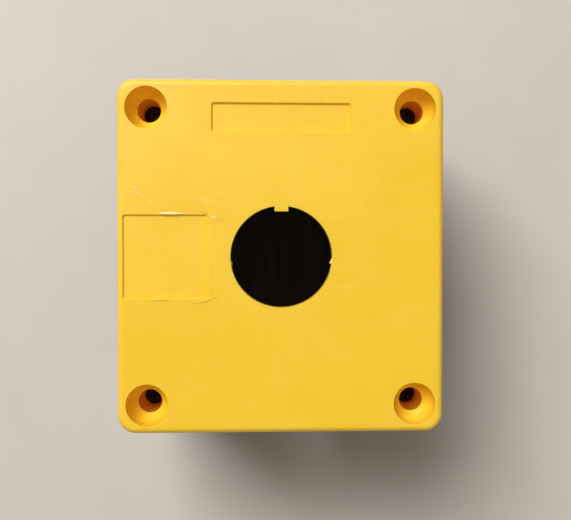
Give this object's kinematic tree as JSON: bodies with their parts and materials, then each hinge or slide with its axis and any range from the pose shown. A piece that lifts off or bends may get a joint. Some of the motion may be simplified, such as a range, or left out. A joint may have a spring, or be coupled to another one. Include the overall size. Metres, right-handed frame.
{
  "type": "push button housing",
  "caption": "Deep plastic wall housing for a round panel actuator: keyed front hole, sunken cover screws, label recesses, sealed cover and cable entries.",
  "frame": {"origin": "centre of the flat back face that lies on the wall", "axes": "+Z out through the front cover, +Y up the wall towards the key of the actuator hole, +X to the right seen from the front"},
  "size_m": [0.072, 0.078, 0.066],
  "materials": {
    "yellow_plastic": "fine satin moulded grain",
    "black_plastic": "black, faded to dark grey, fine matte moulded grain",
    "seal_rubber": "matte closed-cell",
    "grommet_rubber": "matte",
    "washer_rubber": "matte",
    "black_steel": "black oxide",
    "insert_brass": "turned"
  },
  "bodies": {
    "base": {"base_box": "black_plastic", "cable_grommet": "grommet_rubber", "screw_insert_top_left": "insert_brass", "screw_insert_top_right": "insert_brass", "screw_insert_bottom_left": "insert_brass", "screw_insert_bottom_right": "insert_brass"},
    "cover": {"front_cover": "yellow_plastic", "cover_gasket": "seal_rubber"},
    "screw_top_left": {"cover_screw_top_left": "black_steel", "screw_washer_top_left": "washer_rubber"},
    "screw_top_right": {"cover_screw_top_right": "black_steel", "screw_washer_top_right": "washer_rubber"},
    "screw_bottom_left": {"cover_screw_bottom_left": "black_steel", "screw_washer_bottom_left": "washer_rubber"},
    "screw_bottom_right": {"cover_screw_bottom_right": "black_steel", "screw_washer_bottom_right": "washer_rubber"}
  },
  "joints": [
    {"name": "cover_lift", "type": "slide", "parent": "base", "child": "cover", "axis": [0, 0, 1], "range_m": [0, 0.04]},
    {"name": "screw_draw_top_left", "type": "slide", "parent": "cover", "child": "screw_top_left", "axis": [0, 0, 1], "range_m": [0, 0.04]},
    {"name": "screw_draw_top_right", "type": "slide", "parent": "cover", "child": "screw_top_right", "axis": [0, 0, 1], "range_m": [0, 0.04]},
    {"name": "screw_draw_bottom_left", "type": "slide", "parent": "cover", "child": "screw_bottom_left", "axis": [0, 0, 1], "range_m": [0, 0.04]},
    {"name": "screw_draw_bottom_right", "type": "slide", "parent": "cover", "child": "screw_bottom_right", "axis": [0, 0, 1], "range_m": [0, 0.04]}
  ]
}
